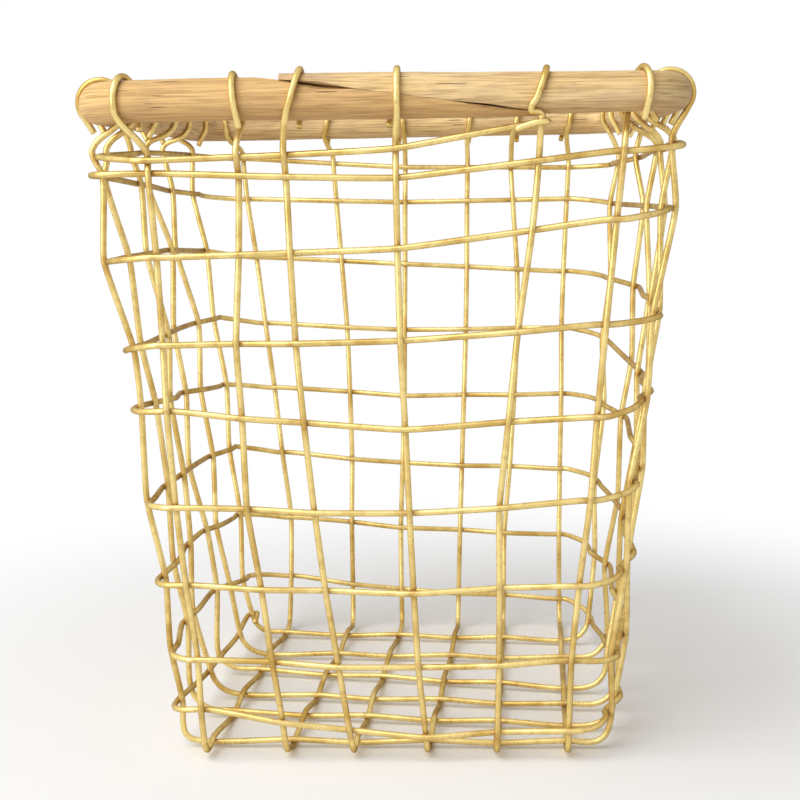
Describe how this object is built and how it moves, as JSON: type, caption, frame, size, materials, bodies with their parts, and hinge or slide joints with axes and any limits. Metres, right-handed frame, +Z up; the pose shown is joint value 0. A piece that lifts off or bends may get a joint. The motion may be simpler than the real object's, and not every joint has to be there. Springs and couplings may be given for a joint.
{
  "type": "wire utensil basket",
  "caption": "Tall square basket woven by hand from brass wire, slightly tapered towards its woven floor, with a bent rattan cane for a rim that the wires hook over",
  "frame": {"origin": "Middle of the bounding box's underside, in the plane that the lowest floor wires stand on", "axes": "+Z up through the open top, -Y towards the front with the cane's scarf joint, +X to the right as seen from the front"},
  "size_m": [0.1911, 0.1912, 0.2224],
  "materials": {
    "cane": "peeled rattan, matt, with a lengthwise grain",
    "wire": "satin brass wire with small dark specks"
  },
  "bodies": {
    "root": {"rim_cane": "cane", "spiral_wire": "wire", "front_to_back_wire_1": "wire", "front_to_back_wire_2": "wire", "front_to_back_wire_3": "wire", "front_to_back_wire_4": "wire", "front_to_back_wire_5": "wire", "front_to_back_wire_6": "wire", "left_to_right_wire_1": "wire", "left_to_right_wire_2": "wire", "left_to_right_wire_3": "wire", "left_to_right_wire_4": "wire", "left_to_right_wire_5": "wire", "left_to_right_wire_6": "wire"}
  },
  "joints": []
}
